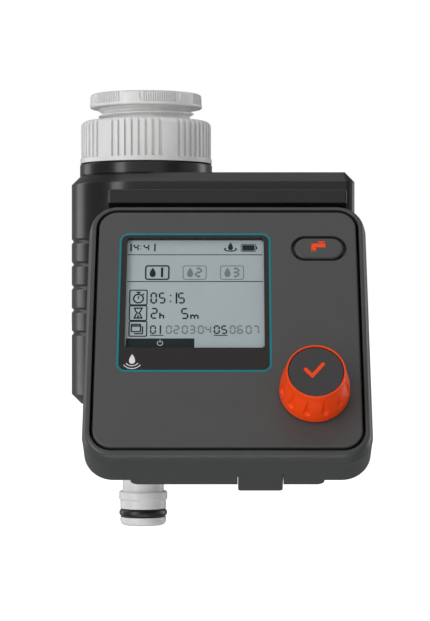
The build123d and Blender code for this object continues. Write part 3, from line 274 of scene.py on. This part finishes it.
# ---------------------------------------------------------------- flat shapes on the face
def ribbon(points, width, closed=False):
    """The left and right outlines of a line of that width through points, in mm."""
    count = len(points)
    left, right = [], []
    for index, point in enumerate(points):
        before = points[index - 1] if closed or index else point
        after = points[(index + 1) % count] if closed or index < count - 1 else point
        run_in = Vector(point) - Vector(before)
        run_out = Vector(after) - Vector(point)
        run_in = (run_in if run_in.length else run_out).normalized()
        run_out = (run_out if run_out.length else run_in).normalized()
        along = (run_in + run_out).normalized()
        across = Vector((-along.y, along.x)) * (width / 2 / max(0.5, along.dot(run_in)))
        left.append(Vector(point) + across)
        right.append(Vector(point) - across)
    return left, right, closed


def add_ribbon(mesh, shape, low, high):
    """A closed solid strip between two outlines, from height low to high in mm."""
    left, right, closed = shape
    rings = []
    for a, b in zip(left, right):
        corners = ((a, high), (b, high), (b, low), (a, low))
        rings.append([mesh.verts.new((p.x * MM, p.y * MM, h * MM)) for p, h in corners])
    pairs = list(zip(rings, rings[1:]))
    if closed:
        pairs.append((rings[-1], rings[0]))
    for one, two in pairs:
        for side in range(4):
            after = (side + 1) % 4
            mesh.faces.new((one[side], two[side], two[after], one[after]))
    if not closed:
        mesh.faces.new(rings[0])
        mesh.faces.new(rings[-1][::-1])


def add_plate(mesh, points, low, high):
    """A closed solid plate with that outline, from height low to high in mm."""
    top = [mesh.verts.new((x * MM, y * MM, high * MM)) for x, y in points]
    foot = [mesh.verts.new((x * MM, y * MM, low * MM)) for x, y in points]
    mesh.faces.new(top)
    mesh.faces.new(foot[::-1])
    for index in range(len(points)):
        after = (index + 1) % len(points)
        mesh.faces.new((top[index], foot[index], foot[after], top[after]))


def arc(centre, radius, start=0.0, end=360.0, steps=24):
    """Points along an arc, in mm, angles in degrees."""
    turns = [radians(start + (end - start) * step / steps) for step in range(steps + 1)]
    return [(centre[0] + radius * cos(turn), centre[1] + radius * sin(turn)) for turn in turns]


def box_line(left, bottom, right, top, radius):
    """The closed outline of a box with round corners."""
    corners = [(right, top, 0), (left, top, 90), (left, bottom, 180), (right, bottom, 270)]
    points = []
    for x, y, start in corners:
        centre = (x - radius if x == right else x + radius, y - radius if y == top else y + radius)
        points += arc(centre, radius, start, start + 90, 4)
    return points


SEGMENTS = {"0": "abcdef", "2": "abged", "3": "abgcd", "4": "fgbc", "5": "afgcd", "6": "afgedc", "7": "abc"}


def digit(character, left, bottom, width, height, stroke):
    """The bars of a seven-segment digit, as outlines."""
    if character == "1":
        foot, head = bottom - stroke / 2, bottom + height + stroke / 2
        return [box_line(left, foot, left + stroke, head, 0.05)]
    gap = stroke * 0.12
    right, top, middle = left + width, bottom + height, bottom + height / 2
    ends = {
        "a": ((left, top), (right, top)),
        "b": ((right, top), (right, middle)),
        "c": ((right, middle), (right, bottom)),
        "d": ((left, bottom), (right, bottom)),
        "e": ((left, middle), (left, bottom)),
        "f": ((left, top), (left, middle)),
        "g": ((left, middle), (right, middle)),
    }
    bars = []
    for name in SEGMENTS[character]:
        start, end = (Vector(point) for point in ends[name])
        along = (end - start).normalized()
        across = Vector((-along.y, along.x)) * stroke / 2
        start, end = start + along * gap, end - along * gap
        tip = along * stroke / 2
        near, far = start + tip, end - tip
        bars.append([start, near - across, far - across, end, far + across, near + across])
    return bars


def figures(spots, bottom, height, stroke):
    """Bars of figures on one base line, from (character, left, width) for each."""
    return [
        bar
        for character, left, width in spots
        for bar in digit(character, left, bottom, width, height, stroke)
    ]


def finish_piece(name, mesh, material, body, matrix=None):
    """Turns a bmesh into a piece that rides on a body."""
    bmesh.ops.recalc_face_normals(mesh, faces=mesh.faces)
    if matrix:
        mesh.transform(matrix)
    data = bpy.data.meshes.new(name)
    mesh.to_mesh(data)
    mesh.free()
    data.materials.append(material)
    piece = bpy.data.objects.new(name, data)
    bpy.context.collection.objects.link(piece)
    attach(piece, body)


def drop_outline(centre, size, steps=20):
    """A water drop, size mm high, pointing up."""
    points = []
    for step in range(steps):
        turn = 2 * pi * step / steps
        side = size * 0.36 * sin(turn) * sin(turn / 2)
        points.append((centre[0] + side, centre[1] + size * 0.5 * cos(turn)))
    return points


def colon(left, low_dot, high_dot, size):
    """The two dots of a clock's colon, from the height of each."""
    return [box_line(left, foot, left + size, foot + size, 0.1) for foot in (low_dot, high_dot)]


def moved(points, centre):
    """Points given about a centre, moved there."""
    return [(centre[0] + x, centre[1] + y) for x, y in points]


# ---------------------------------------------------------------- display content
# Heights in mm over the face: the ink lies just above the display glass, under the lens.
INK_LOW = -1.66
INK_HIGH = -1.61


def ink_piece(name, plates, ribbons, material):
    """Display segments: thin plates and lines just above the display glass."""
    mesh = bmesh.new()
    for outline in plates:
        add_plate(mesh, [tuple(point) for point in outline], INK_LOW, INK_HIGH)
    for points, width, closed in ribbons:
        add_ribbon(mesh, ribbon(points, width, closed), INK_LOW, INK_HIGH)
    finish_piece(name, mesh, material, "control_unit", FACE)


DARK = plastic("display dark", (0.018, 0.028, 0.03), 0.5, **INK)
FAINT = plastic("display faint", (0.2, 0.24, 0.25), 0.5, **INK)

# Places on the face are in mm from its middle. A figure 1 is one bar, whatever width it is given.
ONE_W = 0.5

# clock line: time, drop on a ripple, and battery
CLOCK_BASE = 29.6
CLOCK_H = 2.4
CLOCK_STROKE = 0.5
CLOCK_TIME = (("1", -32.2, ONE_W), ("4", -30.9, 1.3), ("4", -27.6, 1.5), ("1", -24.3, ONE_W))
DROP_X = 1.0
RIPPLE_V = 30.1
RIPPLE_FLATTENING = 0.35
RULE_LINE = 0.28
ripple = arc((0, 0), 1.95, 140, 400, 18)
clock_plates = (
    figures(CLOCK_TIME, CLOCK_BASE, CLOCK_H, CLOCK_STROKE)
    + colon(-28.85, 30.1, 31.2, 0.35)
    + [drop_outline((DROP_X, 31.25), 3.0)]
    + [box_line(4.85, 29.55, 9.0, 31.75, 0.3), box_line(9.35, 30.1, 9.85, 31.2, 0.15)]
)
clock_ribbons = [
    (moved([(x, RIPPLE_FLATTENING * y) for x, y in ripple], (DROP_X, RIPPLE_V)), 0.42, False),
    (box_line(4.5, 29.2, 9.35, 32.1, 0.5), 0.22, True),
    ([(-33.1, 27.99), (11.5, 27.99)], RULE_LINE, False),
    ([(-33.0, 17.7), (11.6, 17.7)], RULE_LINE, False),
]
ink_piece("display_clock", clock_plates, clock_ribbons, DARK)

# programme boxes: the first is chosen
PROGRAMME_FIRST = -23.1
PROGRAMME_PITCH = 12.3
PROGRAMME_W = 7.6
PROGRAMME_FOOT = 18.55
PROGRAMME_TOP = 23.7
PROGRAMME_BASE = 19.7
PROGRAMME_FIGURE = (1.7, 3.0, 0.75)
for place in range(3):
    middle = PROGRAMME_FIRST + place * PROGRAMME_PITCH
    left, right = middle - PROGRAMME_W / 2, middle + PROGRAMME_W / 2
    figure_left, line, ink = (middle + 0.4, 0.3, FAINT) if place else (middle + 1.2, 0.5, DARK)
    plates = [drop_outline((middle - 1.5, 21.2), 3.6)]
    plates += digit(str(place + 1), figure_left, PROGRAMME_BASE, *PROGRAMME_FIGURE)
    outline = [(box_line(left, PROGRAMME_FOOT, right, PROGRAMME_TOP, 0.7), line, True)]
    ink_piece("display_programme_%d" % (place + 1), plates, outline, ink)

# start time, run time and days, each with its icon box
ICON_LINE = 0.45
ICON_BOX_LINE = 0.4
ICON_X = -29.1
START_ICON = (ICON_X, 11.2)
RUN_ICON = (ICON_X, 5.75)
icon_boxes = [
    (box_line(-31.95, 8.85, -26.3, 14.4, 0.4), ICON_BOX_LINE, True),
    (box_line(-31.95, 3.0, -26.3, 8.5, 0.4), ICON_BOX_LINE, True),
    (box_line(-31.9, -2.9, -26.2, 2.6, 0.4), ICON_BOX_LINE, True),
]
stopwatch = [
    (arc(START_ICON, 1.6), 0.5, True),
    (moved([(0, 1.5), (0, 2.3)], START_ICON), 0.5, False),
    (moved([(-0.7, 2.4), (0.7, 2.4)], START_ICON), ICON_LINE, False),
    (moved([(1.25, 1.3), (1.8, 1.85)], START_ICON), ICON_LINE, False),
    (moved([(0, -0.2), (0, 0.9)], START_ICON), 0.4, False),
]
hourglass = [(moved([(-1.5, end), (1.5, end)], RUN_ICON), 0.5, False) for end in (1.85, -1.85)]
glass_wall = [(1.1, 1.65), (0.8, 0.65), (0.25, 0), (0.8, -0.65), (1.1, -1.65)]
for half in (-1, 1):
    wall = [(half * x, y) for x, y in glass_wall]
    hourglass.append((moved(wall, RUN_ICON), ICON_LINE, False))
cards = [
    (box_line(-31.2, -1.2, -28.2, 1.5, 0.3), ICON_LINE, True),
    ([(-30.3, -1.95), (-27.55, -1.95), (-27.55, 0.8)], ICON_LINE, False),
    ([(-31.0, 0.9), (-28.4, 0.9)], 0.5, False),
]

ROW_STROKE = 0.54
START_BASE = 9.6
START_H = 3.65
HOURS_BASE = 3.85
MINUTES_BASE = 3.75
RUN_H = 3.6
START_TIME = (("0", -24.95, 1.65), ("5", -22.2, 1.65), ("1", -16.95, ONE_W), ("5", -15.95, 1.75))
row_plates = (
    figures(START_TIME, START_BASE, START_H, ROW_STROKE)
    + figures([("2", -24.75, 1.75)], HOURS_BASE, RUN_H, ROW_STROKE)
    + figures([("5", -14.85, 1.85)], MINUTES_BASE, RUN_H, ROW_STROKE)
    + colon(-18.85, 9.95, 12.15, 0.5)
    + [drop_outline((ICON_X, 4.6), 1.1)]
)
LETTER_LINE = 0.5
HOURS_FOOT = (-22.0, 3.7)
MINUTES_FOOT = (-11.9, 3.65)
letter_h = [[(0, 2.2), (0, 0)], [(0, 1.0), (0.6, 1.35), (1.2, 1.0), (1.2, 0)]]
letter_m = [
    [(0, 1.5), (0, 0)],
    [(0, 1.0), (0.6, 1.35), (1.15, 1.0), (1.15, 0)],
    [(1.15, 1.0), (1.7, 1.35), (2.3, 1.0), (2.3, 0)],
]
unit_letters = [(moved(line, HOURS_FOOT), LETTER_LINE, False) for line in letter_h]
unit_letters += [(moved(line, MINUTES_FOOT), LETTER_LINE, False) for line in letter_m]
ink_piece("display_rows", row_plates, icon_boxes + stopwatch + hourglass + cards + unit_letters, DARK)

# seven day marks: the first and the fifth are on
DAY_FIRST = -22.9
DAY_PITCH = 5.17
DAY_BASE = -1.8
DAY_H = 2.7
DAY_W = 1.5
DAY_STROKE = 0.5
UNDERLINE_HALF = 2.2
UNDERLINE_V = -2.55
UNDERLINE_LINE = 0.32
DAYS_ON = (0, 4)
on_plates, off_plates, underlines = [], [], []
for place in range(7):
    middle = DAY_FIRST + place * DAY_PITCH
    second_left = middle + (0.4 if place else 0.9)
    mark = (("0", middle - 2.0, DAY_W), (str(place + 1), second_left, DAY_W))
    target = on_plates if place in DAYS_ON else off_plates
    target += figures(mark, DAY_BASE, DAY_H, DAY_STROKE)
    if place in DAYS_ON:
        ends = [(middle - UNDERLINE_HALF, UNDERLINE_V), (middle + UNDERLINE_HALF, UNDERLINE_V)]
        underlines.append((ends, UNDERLINE_LINE, False))
ink_piece("display_days_on", on_plates, underlines, DARK)
ink_piece("display_days_off", off_plates, [], FAINT)

# status bar with a light power sign
MARK_X = -21.8
MARK_LINE = 0.3
MARK_HIGH = INK_HIGH + 0.02
ink_piece("display_bar", [box_line(-32.9, -7.3, -10.7, -3.72, 0.15)], [], DARK)
bar_mark = bmesh.new()
for points in (arc((MARK_X, -5.5), 0.85, 120, 420, 18), [(MARK_X, -5.3), (MARK_X, -4.2)]):
    add_ribbon(bar_mark, ribbon(points, MARK_LINE), INK_HIGH, MARK_HIGH)
finish_piece("display_bar_mark", bar_mark, materials["lcd_glass"], "control_unit", FACE)

# a plain drop with ripples, printed on the display's border
PRINT_X = -30.6
PRINT_LINE = 0.32
PRINT_LOW = -0.01
PRINT_HIGH = 0.02
border_mark = bmesh.new()
add_plate(border_mark, drop_outline((PRINT_X, -12.2), 3.6), PRINT_LOW, PRINT_HIGH)
for radius in (2.3, 3.3):
    ripple = arc((PRINT_X, -12.4), radius, 215, 325, 12)
    add_ribbon(border_mark, ribbon(ripple, PRINT_LINE), PRINT_LOW, PRINT_HIGH)
finish_piece("border_mark", border_mark, materials["white_plastic"], "control_unit", FACE)


# ---------------------------------------------------------------- tap thread inside the adapter
# In mm. The ridge stands THREAD_DEPTH out of the bore's wall and reaches THREAD_ROOT into it.
TAP_BORE_R = 12.06
THREAD_PITCH = 1.814
THREAD_DEPTH = 0.55
THREAD_BASE = 1.3
THREAD_CREST = 0.24
THREAD_ROOT = 0.05
THREAD_LOW = -10.8
THREAD_HIGH = -1.4
TURN_STEPS = 48
FADE_STEPS = 0.4 * TURN_STEPS


def tap_thread():
    """The adapter's inner thread: a helical ridge on the wall of its bore, fading in and out."""
    mesh = bmesh.new()
    step_count = (THREAD_HIGH - THREAD_LOW) / THREAD_PITCH * TURN_STEPS
    rings = []
    for step in range(int(step_count) + 1):
        turn = 2 * pi * step / TURN_STEPS
        height = THREAD_LOW + THREAD_PITCH * step / TURN_STEPS
        fade = min(1.0, step / FADE_STEPS, (step_count - step) / FADE_STEPS + 0.02)
        root, crest = TAP_BORE_R + THREAD_ROOT, TAP_BORE_R - THREAD_DEPTH * fade
        profile = (
            (root, height + THREAD_BASE / 2),
            (crest, height + THREAD_CREST / 2),
            (crest, height - THREAD_CREST / 2),
            (root, height - THREAD_BASE / 2),
        )
        corners = [Vector((radius * cos(turn), radius * sin(turn), level)) * MM for radius, level in profile]
        rings.append([mesh.verts.new(corner) for corner in corners])
    for one, two in zip(rings, rings[1:]):
        for side in range(4):
            after = (side + 1) % 4
            mesh.faces.new((one[side], two[side], two[after], one[after]))
    mesh.faces.new(rings[0])
    mesh.faces.new(rings[-1][::-1])
    material = materials["connector_grey"]
    finish_piece("adapter_inner_thread", mesh, material, "tap_adapter")


tap_thread()

# ---------------------------------------------------------------- stage, lights and camera
low, high = cad_box
centre = (Vector(low) + Vector(high)) / 2


def stage_material(name, colour):
    """Pale seamless paper with a faint tooth, glowing enough to stay white."""
    material, tree, shader = new_material(name)
    mottle(tree, shader, colour, 0.01, 40.0)
    shader.inputs["Roughness"].default_value = 0.9
    shader.inputs["Specular IOR Level"].default_value = 0.0
    shader.inputs["Emission Color"].default_value = (1, 1, 1, 1)
    shader.inputs["Emission Strength"].default_value = 0.95
    surface(tree, shader, [(noise(tree, 3.0), 0.02)])
    return material


# a wide floor below the object, which only the camera sees
FLOOR_HALF = 30.0
FLOOR_Z = low[2] - 0.12
floor_mesh = bpy.data.meshes.new("floor")
floor_mesh.from_pydata(
    [(x * FLOOR_HALF, y * FLOOR_HALF, FLOOR_Z) for x, y in ((-1, -1), (1, -1), (1, 1), (-1, 1))],
    [],
    [(0, 1, 2, 3)],
)
floor_mesh.materials.append(stage_material("floor paper", (0.9, 0.9, 0.9)))
floor = bpy.data.objects.new("floor", floor_mesh)
bpy.context.collection.objects.link(floor)
floor.visible_diffuse = False
floor.visible_glossy = False
floor.visible_shadow = False


def softbox(name, place, target, width, height, power):
    """An area light that looks at target."""
    data = bpy.data.lights.new(name, "AREA")
    data.shape = "RECTANGLE"
    data.size = width
    data.size_y = height
    data.energy = power
    light = bpy.data.objects.new(name, data)
    light.location = place
    light.rotation_euler = (Vector(target) - Vector(place)).to_track_quat("-Z", "Y").to_euler()
    bpy.context.collection.objects.link(light)


# places and sizes in metres, powers in watts
softbox("key left", (-0.55, -0.6, 0.05), centre, width=0.22, height=1.1, power=3.8)
softbox("fill right", (0.95, -0.1, 0.1), centre, width=0.7, height=0.9, power=0.7)
softbox("top", (0.0, -0.15, 0.9), centre, width=0.9, height=0.7, power=2.0)
softbox("front", (0.03, -1.8, 0.5), centre, width=2.6, height=2.0, power=8.6)
softbox("front low", (-0.1, -1.5, -0.9), centre, width=2.4, height=1.4, power=2.6)
softbox("under", (-0.05, -0.55, -1.1), centre, width=1.0, height=0.7, power=3.2)
softbox("rim left", (-0.7, 0.4, 0.05), centre, width=0.3, height=0.9, power=1.5)
softbox("rim right", (0.8, 0.4, 0.05), centre, width=0.3, height=0.9, power=2.3)

# white behind the object, and a dimmer sky for its light
world = bpy.data.worlds.new("studio")
world.use_nodes = True
bpy.context.scene.world = world
sky = world.node_tree
seen = sky.nodes["Background"]
seen.inputs["Color"].default_value = (1, 1, 1, 1)
seen.inputs["Strength"].default_value = 1.0
ambient = add_node(sky, "ShaderNodeBackground", Color=(1, 1, 1, 1), Strength=0.25)
rays = sky.nodes.new("ShaderNodeLightPath")
choice = sky.nodes.new("ShaderNodeMixShader")
sky.links.new(rays.outputs["Is Camera Ray"], choice.inputs["Fac"])
sky.links.new(ambient.outputs["Background"], choice.inputs[1])
sky.links.new(seen.outputs["Background"], choice.inputs[2])
sky.links.new(choice.outputs["Shader"], sky.nodes["World Output"].inputs["Surface"])

# The camera stands in front of the control unit and looks level along +Y.
CAMERA_PLACE = (0.0285, -0.762, -0.0754)
CAMERA_LENS = 126.1
CAMERA_SHIFT = -0.0201
camera_data = bpy.data.cameras.new("camera")
camera_data.sensor_width = 36.0
camera_data.lens = CAMERA_LENS
camera_data.shift_x = CAMERA_SHIFT
camera = bpy.data.objects.new("camera", camera_data)
camera.location = CAMERA_PLACE
camera.rotation_euler = (pi / 2, 0, 0)
bpy.context.collection.objects.link(camera)
bpy.context.scene.camera = camera
bpy.context.scene.view_settings.view_transform = "Standard"
